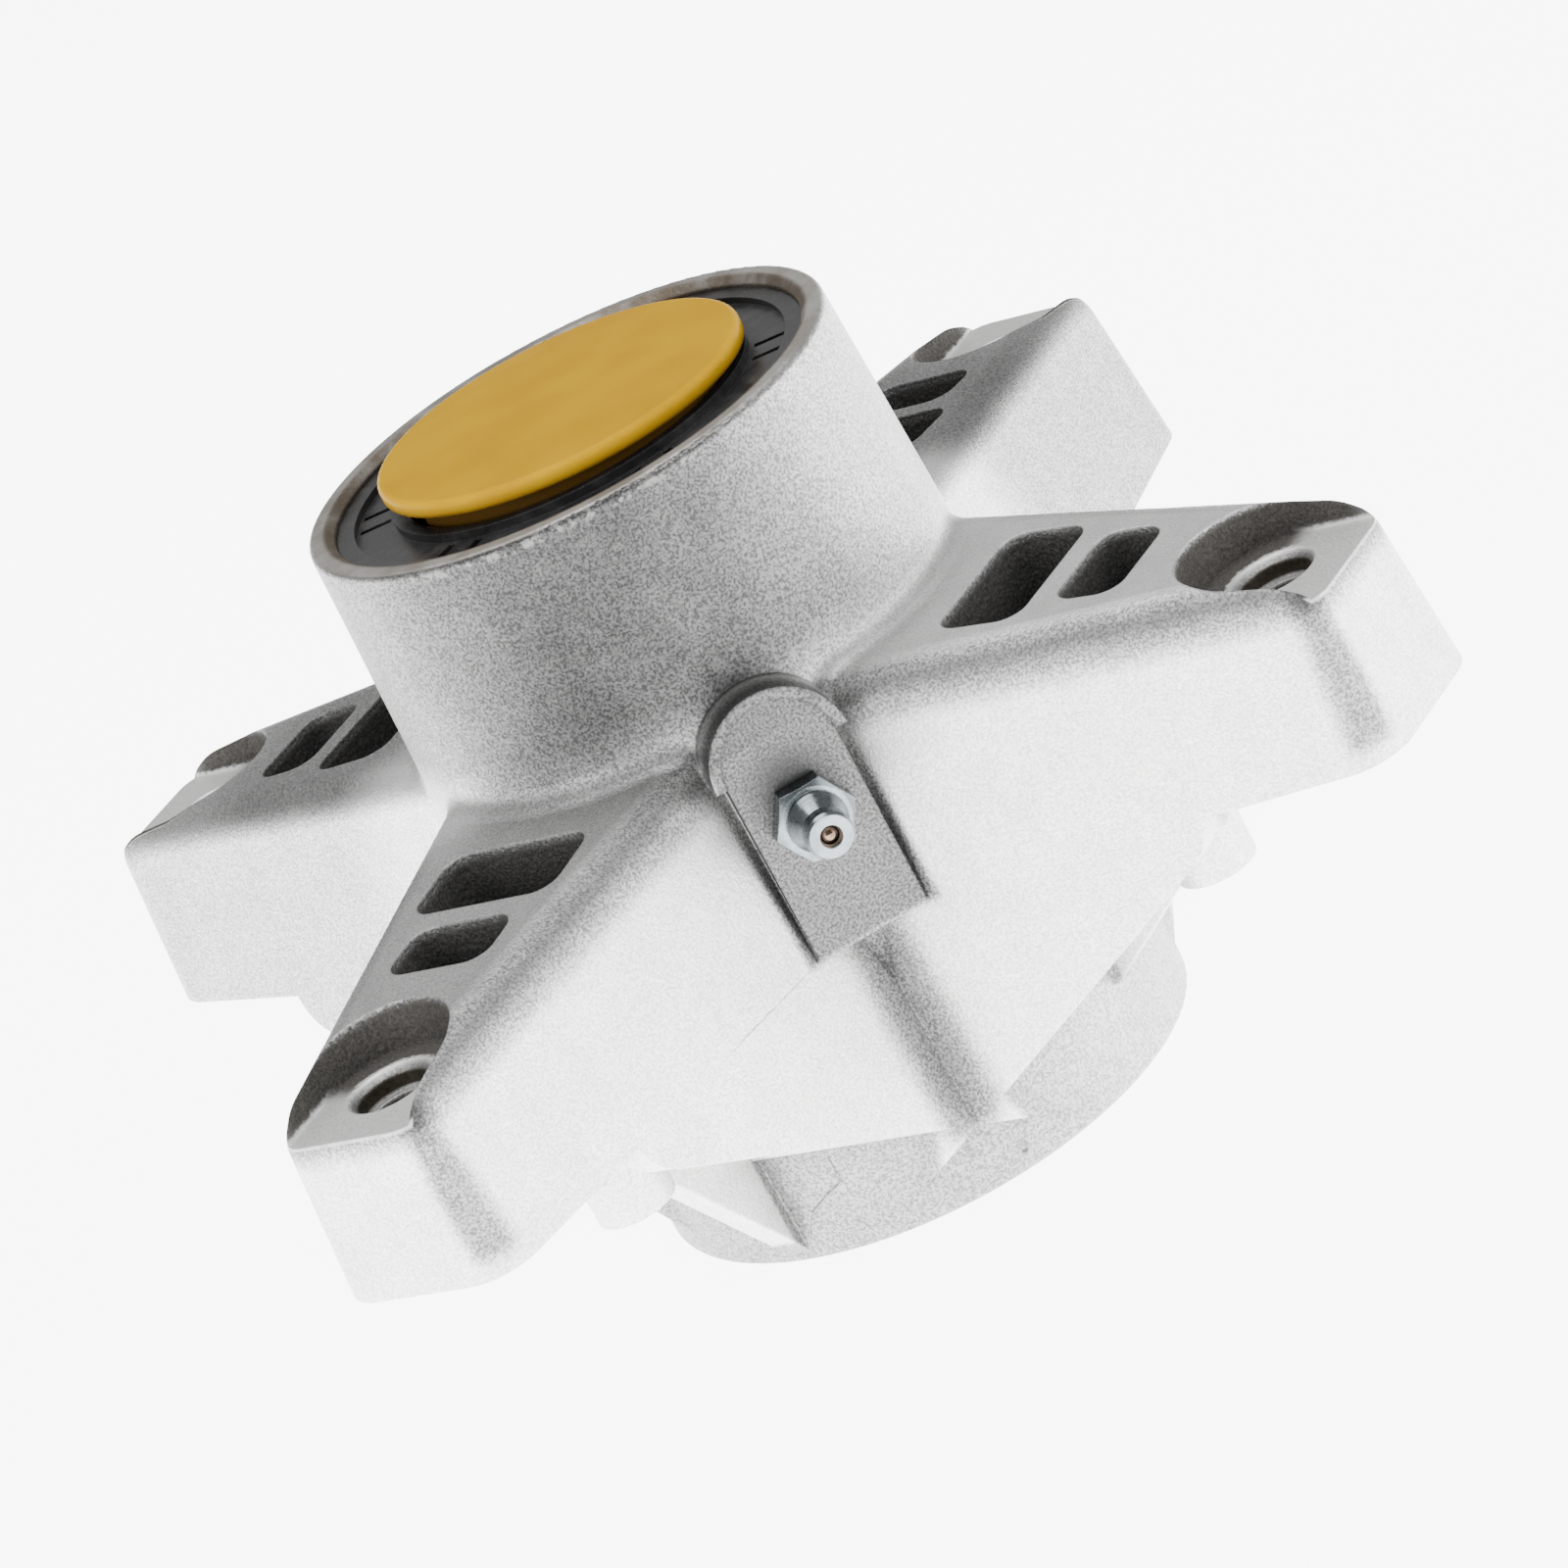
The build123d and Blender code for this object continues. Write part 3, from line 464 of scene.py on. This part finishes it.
def turned_steel(name, light, dark, roughness, stretch, depth):
    """Steel with fine marks of turning, grinding or drawing along the part's axis."""
    g = Graph(name)
    marks = g.noise(1.0, 3.0, 0.6, vector=g.stretched(*stretch))
    cloud = g.noise(0.25)
    colour = g.mix(g.rise(cloud, *MIDDLE), light, dark)
    rough = g.blend(g.rise(marks, *MIDDLE), roughness * 0.8, roughness * 1.25)
    return g.finish(colour, rough, g.bump(marks, depth, 0.5, g.soft_edges(0.15)), Metallic=1.0)


def seal_rubber():
    """Black rubber with a little dust in patches."""
    g = Graph("seal_rubber")
    fine = g.noise(3.0, 3.0, 0.6)
    dust = g.noise(0.3, 3.0, 0.6)
    colour = g.mix(g.rise(dust, 0.45, 0.75), (0.016, 0.016, 0.017), (0.035, 0.034, 0.033))
    rough = g.blend(g.rise(dust, 0.35, 0.7), 0.26, 0.42)
    normal = g.bump(fine, 0.05, 0.5, g.soft_edges(0.2))
    return g.finish(colour, rough, normal, Specular_IOR_Level=0.5)


def plug_plastic():
    """Yellow plastic with faint scuffs, and dark brown painted shade under the upper plug's disc."""
    g = Graph("plug_plastic")
    x, _, z = g.split(g.place())
    fine = g.noise(2.2, 3.0, 0.6)
    cloud = g.noise(0.07)
    scuff = g.noise(1.0, 4.0, 0.65, vector=g.stretched(0.9, 0.12, 0.5))
    colour = g.mix(g.rise(cloud, *MIDDLE), (0.49, 0.275, 0.0), (0.44, 0.235, 0.0))
    colour = g.mix(g.product(g.rise(scuff, 0.66, 0.8), 0.2), colour, (0.52, 0.31, 0.01))
    # Painted shade under the upper plug's disc, leaning with the plug
    level = g.math("ADD", z, g.product(x, PLUG_LEAN_SLOPE))
    under_disc_shade = g.product(g.rise(level, *PLUG_DISC_FACES), g.rise(z, *ABOVE_LOWER_PLUG))
    colour = g.mix(under_disc_shade, colour, (0.11, 0.058, 0.012))
    rough = g.blend(g.rise(fine, *MIDDLE), 0.38, 0.5)
    normal = g.bump(cloud, 0.5, 0.15, g.soft_edges(0.3))
    normal = g.bump(fine, 0.04, 0.5, normal)
    return g.finish(colour, rough, normal, Specular_IOR_Level=0.04)


def zinc_plate():
    """Bluish plating with rings of turning across the fitting's axis and dull spots."""
    g = Graph("zinc_plate")
    rings = g.noise(1.0, vector=g.stretched(0.12, 7.0, 0.12))
    spots = g.noise(1.4, 3.0, 0.6)
    cloud = g.noise(0.35)
    colour = g.mix(g.rise(cloud, *MIDDLE), (0.22, 0.245, 0.26), (0.15, 0.17, 0.18))
    colour = g.mix(g.product(g.rise(spots, 0.62, 0.78), 0.35), colour, (0.11, 0.13, 0.135))
    rough = g.blend(g.rise(spots, *MIDDLE), 0.17, 0.30)
    return g.finish(colour, rough, g.bump(rings, 0.05, 0.5, g.soft_edges(0.18)), Metallic=1.0)


def ball_steel():
    """Shiny brownish ball, stained by grease."""
    g = Graph("ball_steel")
    cloud = g.noise(0.9)
    colour = g.mix(g.rise(cloud, *MIDDLE), (0.20, 0.13, 0.09), (0.11, 0.07, 0.05))
    return g.finish(colour, g.blend(cloud, 0.1, 0.22), g.bump(cloud, 0.02, 0.3), Metallic=1.0)


def tapped_wall():
    """The grey-green, oily flanks of a thread cut in the casting."""
    g = Graph("tapped_wall")
    fine = g.noise(2.6, 3.0, 0.6)
    colour = g.mix(g.rise(fine, *NARROW_MIDDLE), (0.30, 0.30, 0.25), (0.14, 0.13, 0.10))
    return g.finish(colour, g.blend(fine, 0.28, 0.5), g.bump(fine, 0.08, 0.6), Metallic=0.85)


def new_mesh(name, points, faces, material, smooth=True):
    """An object in the scene made of points in millimetres."""
    mesh = bpy.data.meshes.new(name)
    mesh.from_pydata([tuple(c * MM for c in p) for p in points], [], faces)
    mesh.update()
    for polygon in mesh.polygons:
        polygon.use_smooth = smooth
    mesh.materials.append(material)
    piece = bpy.data.objects.new(name, mesh)
    bpy.context.scene.collection.objects.link(piece)
    return piece


def arm_half_width(t, z):
    """Half of an arm's width at a reach t and a height z."""
    return ARM_HALF_WIDTH + ARM_PLAN_SLOPE * (ARM_WIDTH_AT - t) + ARM_DRAFT_SLOPE * (FOOT_HEIGHT - z)


def tube_radius(z):
    """The radius of the hub and tube at a height."""
    if z < TUBE_ROOT_HEIGHT:
        return HUB_RIM_RADIUS + (TUBE_ROOT_RADIUS - HUB_RIM_RADIUS) * z / TUBE_ROOT_HEIGHT
    rise = (z - TUBE_ROOT_HEIGHT) / (TUBE_TOP - TUBE_ROOT_HEIGHT)
    return TUBE_ROOT_RADIUS + (TUBE_RIM_RADIUS - TUBE_ROOT_RADIUS) * rise


def on_arm(arm, t, w, z):
    """The point at a reach t along an arm, w to its side and a height z."""
    angle = math.radians(ARM_ANGLES[arm])
    return Vector((t * math.cos(angle) - w * math.sin(angle), t * math.sin(angle) + w * math.cos(angle), z))


def bead(name, path, radii, material, sides=8):
    """A closed low ridge along a path, with a radius at each of its points."""
    points, faces = [], []
    for index, (spot, radius) in enumerate(zip(path, radii)):
        ahead = path[min(index + 1, len(path) - 1)] - path[max(index - 1, 0)]
        across = ahead.cross(Vector((0, 0, 1))).normalized()
        upwards = across.cross(ahead).normalized()
        for step in range(sides):
            turn = 2 * math.pi * step / sides
            points.append(spot + (across * math.cos(turn) + upwards * math.sin(turn)) * radius)
    for index in range(len(path) - 1):
        for step in range(sides):
            a, b = index * sides + step, index * sides + (step + 1) % sides
            faces.append((a, b, b + sides, a + sides))
    faces.append(tuple(reversed(range(sides))))
    faces.append(tuple(range((len(path) - 1) * sides, len(path) * sides)))
    piece = new_mesh(name, points, faces, material)
    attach(piece, "housing")


def between_points(corners, spacing):
    """Evenly spread points along straight runs between corners."""
    path = [corners[0]]
    for start, end in zip(corners, corners[1:]):
        count = max(2, int((end - start).length / spacing))
        path += [start.lerp(end, step / count) for step in range(1, count + 1)]
    return path


def uneven(count, size, spread, chance):
    """Radii that wander round a size and shrink over the first and last quarter."""
    radii = []
    for index in range(count):
        fade = min(1.0, 4 * index / count + BEAD_END_SHARE, 4 * (count - 1 - index) / count + BEAD_END_SHARE)
        radii.append(size * fade * (1 + spread * chance.uniform(-1, 1)))
    return radii


def thread_ring(centre, turn, height):
    """The four corners of a thread's section at one turn angle."""
    root = BOLT_HOLE_RADIUS - THREAD_ROOT_GAP
    half_root = THREAD_PITCH * THREAD_ROOT_SHARE / 2
    half_crest = THREAD_PITCH * THREAD_CREST_SHARE / 2
    profile = ((root, -half_root), (THREAD_CREST_RADIUS, -half_crest),
               (THREAD_CREST_RADIUS, half_crest), (root, half_root))
    return [(centre.x + radius * math.cos(turn), centre.y + radius * math.sin(turn), height + lift)
            for radius, lift in profile]


def tapped_threads(material):
    """Thread ridges cut in the lower part of each bolt hole."""
    low = FOOT_HEIGHT + THREAD_START_GAP
    high = POCKET_FLOOR - COUNTERBORE_DEPTH - THREAD_END_GAP
    count = int((high - low - THREAD_PITCH) / THREAD_PITCH * STEPS_PER_TURN)
    for arm in ARM_ANGLES:
        centre = on_arm(arm, BOLT_REACH, 0, 0)
        points, faces = [], []
        for index in range(count + 1):
            height = low + 0.5 * THREAD_PITCH + index * THREAD_PITCH / STEPS_PER_TURN
            points += thread_ring(centre, 2 * math.pi * index / STEPS_PER_TURN, height)
        for index in range(count):
            for step in range(4):
                a, b = index * 4 + step, index * 4 + (step + 1) % 4
                faces.append((a, b, b + 4, a + 4))
        faces.append((3, 2, 1, 0))
        faces.append(tuple(count * 4 + step for step in range(4)))
        piece = new_mesh(f"{arm}_thread", points, faces, material, smooth=False)
        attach(piece, "housing")


def on_tube(angle, radius, height):
    """The point at an angle in degrees round the tube."""
    turn = math.radians(angle)
    return Vector((radius * math.cos(turn), radius * math.sin(turn), height))


def casting_marks(material):
    """Parting line, gusset root and the uneven burr on the rim's front edge."""
    chance = random.Random(MARKS_SEED)
    corners = [on_arm("front_left", t, arm_half_width(t, z) - PARTING_SINK, z) for t, z in PARTING_LINE]
    path = between_points(corners, PARTING_SPACING)
    radii = uneven(len(path), PARTING_BEAD_RADIUS, PARTING_UNEVENNESS, chance)
    bead("front_left_parting_line", path, radii, material)

    corners = [on_tube(angle, tube_radius(z), z) for angle, z in GUSSET_ROOT]
    path = between_points(corners, GUSSET_ROOT_SPACING)
    radii = uneven(len(path), GUSSET_ROOT_BEAD_RADIUS, GUSSET_ROOT_UNEVENNESS, chance)
    bead("front_left_gusset_root", path, radii, material)

    path = []
    for index in range(BURR_POINTS):
        angle = BURR_START + BURR_SWEEP * index / (BURR_POINTS - 1)
        radius = BURR_RADIUS + chance.uniform(-BURR_SIDE_SCATTER, BURR_SIDE_SCATTER)
        height = BURR_HEIGHT + chance.uniform(-BURR_HEIGHT_SCATTER, BURR_HEIGHT_SCATTER)
        path.append(on_tube(angle, radius, height))
    radii = uneven(len(path), BURR_BEAD_RADIUS, BURR_UNEVENNESS, chance)
    bead("rim_burr", path, radii, material)


def camera():
    """The photo's own view: its solved direction, roll, distance and off-centre frame."""
    back = Vector((math.sin(LOOK_AZIMUTH) * math.cos(LOOK_ELEVATION),
                   -math.cos(LOOK_AZIMUTH) * math.cos(LOOK_ELEVATION), math.sin(LOOK_ELEVATION)))
    level = Vector((math.cos(LOOK_AZIMUTH), math.sin(LOOK_AZIMUTH), 0))
    above = back.cross(level)
    right = level * math.cos(LOOK_ROLL) + above * math.sin(LOOK_ROLL)
    up = above * math.cos(LOOK_ROLL) - level * math.sin(LOOK_ROLL)
    place = level * AIM_SIDEWAYS + Vector((0, 0, AIM_HEIGHT)) + back * LOOK_DISTANCE
    data = bpy.data.cameras.new("camera")
    data.lens = data.sensor_width * FOCAL_PIXELS / PHOTO_SIDE
    data.shift_x = SHIFT_X_PIXELS / PHOTO_SIDE
    data.shift_y = SHIFT_Y_PIXELS / PHOTO_SIDE
    data.clip_end = CLIP_END
    view = bpy.data.objects.new("camera", data)
    view.matrix_world = Matrix(((right.x, up.x, back.x, place.x), (right.y, up.y, back.y, place.y),
                                (right.z, up.z, back.z, place.z), (0, 0, 0, 1)))
    bpy.context.scene.collection.objects.link(view)
    bpy.context.scene.camera = view


def softbox(name, azimuth, elevation, distance, size, power):
    """A square light aimed at the part's middle."""
    a, e = math.radians(azimuth), math.radians(elevation)
    place = Vector((math.cos(a) * math.cos(e), math.sin(a) * math.cos(e), math.sin(e))) * distance
    data = bpy.data.lights.new(name, "AREA")
    data.size = size
    data.energy = power
    light = bpy.data.objects.new(name, data)
    light.location = place + LIGHTS_AIM
    light.rotation_euler = place.to_track_quat("Z", "Y").to_euler()
    bpy.context.scene.collection.objects.link(light)


def pale_floor():
    """A plain floor that glows, so that the arms' sides are lit as brightly as in the photo."""
    look = Graph("pale_floor")
    cloud = look.noise(0.004)
    colour = look.mix(cloud, (0.93, 0.93, 0.93), (0.90, 0.90, 0.90))
    look.finish(colour, 0.9, look.bump(cloud, 0.2, 0.05), Emission_Color=WHITE,
                Emission_Strength=FLOOR_GLOW)
    corners = [(x * FLOOR_REACH, y * FLOOR_REACH, FLOOR_HEIGHT)
               for x, y in ((-1, -1), (1, -1), (1, 1), (-1, 1))]
    new_mesh("floor", corners, [(0, 1, 2, 3)], look.material)


def studio():
    """Pale floor, dim surroundings and three softboxes."""
    pale_floor()
    world = bpy.data.worlds.new("studio")
    world.use_nodes = True
    background = world.node_tree.nodes["Background"]
    background.inputs["Color"].default_value = WHITE
    background.inputs["Strength"].default_value = WORLD_STRENGTH
    bpy.context.scene.world = world
    for name, values in SOFTBOXES.items():
        softbox(name, *values)


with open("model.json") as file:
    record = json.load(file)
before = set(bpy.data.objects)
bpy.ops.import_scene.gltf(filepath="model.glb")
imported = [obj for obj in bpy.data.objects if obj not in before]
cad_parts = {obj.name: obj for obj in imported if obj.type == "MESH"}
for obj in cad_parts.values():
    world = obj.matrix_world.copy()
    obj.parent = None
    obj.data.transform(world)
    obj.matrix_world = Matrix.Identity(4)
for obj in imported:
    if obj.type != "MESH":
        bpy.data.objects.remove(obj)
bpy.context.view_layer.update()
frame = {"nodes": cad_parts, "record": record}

looks = {
    "cast_aluminium": cast_aluminium(),
    "seal_rubber": seal_rubber(),
    "plug_plastic": plug_plastic(),
    "zinc_plate": zinc_plate(),
    "ball_steel": ball_steel(),
}
for name, values in STEELS.items():
    looks[name] = turned_steel(name, *values)
for part in frame["record"]["subparts"]:
    node = frame["nodes"][part["node"]]
    node.data.materials.clear()
    node.data.materials.append(looks[part["material_slot"]])

tapped_threads(tapped_wall())
casting_marks(looks["cast_aluminium"])
camera()
studio()
